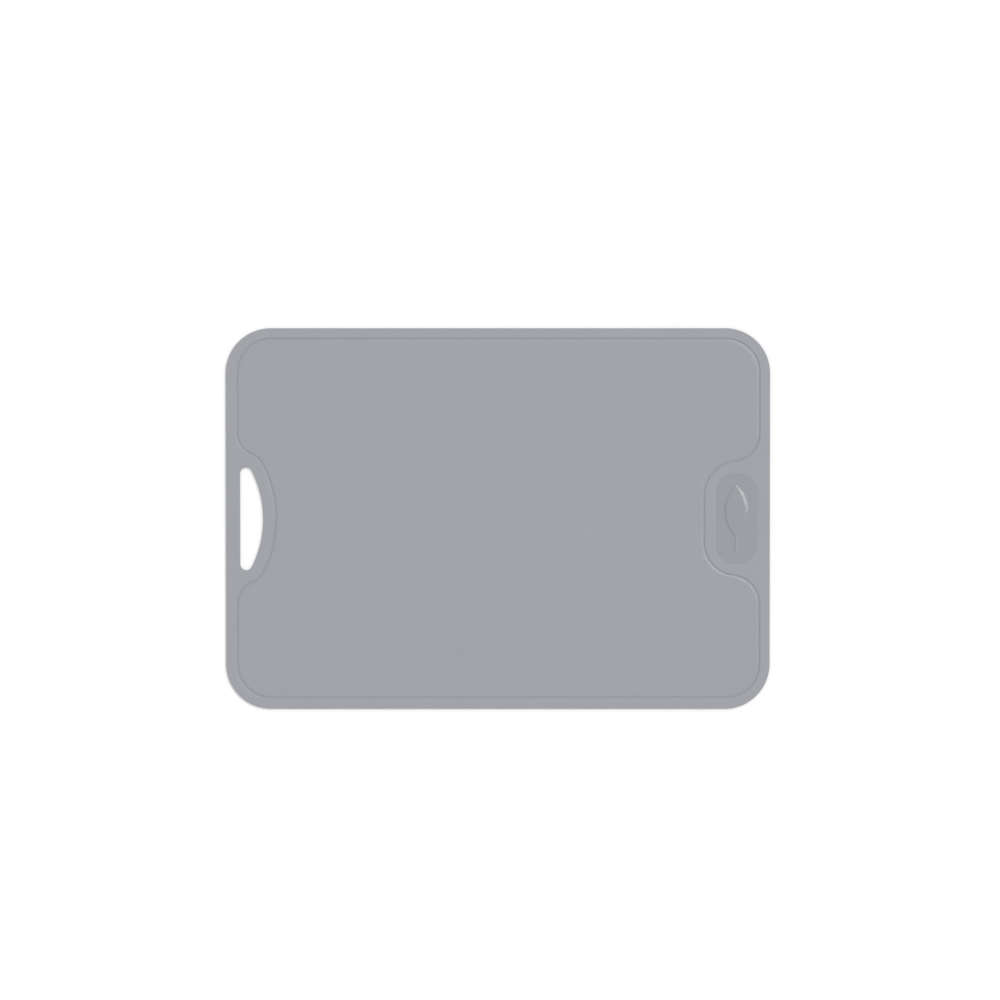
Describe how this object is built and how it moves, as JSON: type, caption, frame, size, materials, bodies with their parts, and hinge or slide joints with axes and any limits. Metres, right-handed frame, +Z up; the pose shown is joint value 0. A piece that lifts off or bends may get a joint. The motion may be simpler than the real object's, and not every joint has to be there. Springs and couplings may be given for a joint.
{
  "type": "flexible cutting mat",
  "caption": "Thin flexible rectangular cutting mat with rounded corners, a soft rim with a hand opening, an inlaid badge, a fine groove round the cutting panel and anti-slip feet below.",
  "frame": {"origin": "on the worktop, under the middle of the mat, at the bottom of its feet", "axes": "+Z up out of the cutting face, +X along the mat's length from the hand opening to the badge, +Y across it to the back"},
  "size_m": [0.4, 0.28, 0.0032],
  "materials": {
    "panel_plastic": "satin",
    "rim_elastomer": "satin",
    "badge_plastic": "gloss",
    "foot_elastomer": "matte"
  },
  "bodies": {
    "root": {"cutting_panel": "panel_plastic", "soft_rim": "rim_elastomer", "badge": "badge_plastic", "corner_foot_front_left": "foot_elastomer", "corner_foot_front_right": "foot_elastomer", "corner_foot_back_left": "foot_elastomer", "corner_foot_back_right": "foot_elastomer", "edge_foot_front": "foot_elastomer", "edge_foot_back": "foot_elastomer", "grip_foot": "foot_elastomer", "badge_foot": "foot_elastomer", "grip_dots": "foot_elastomer"}
  },
  "joints": []
}
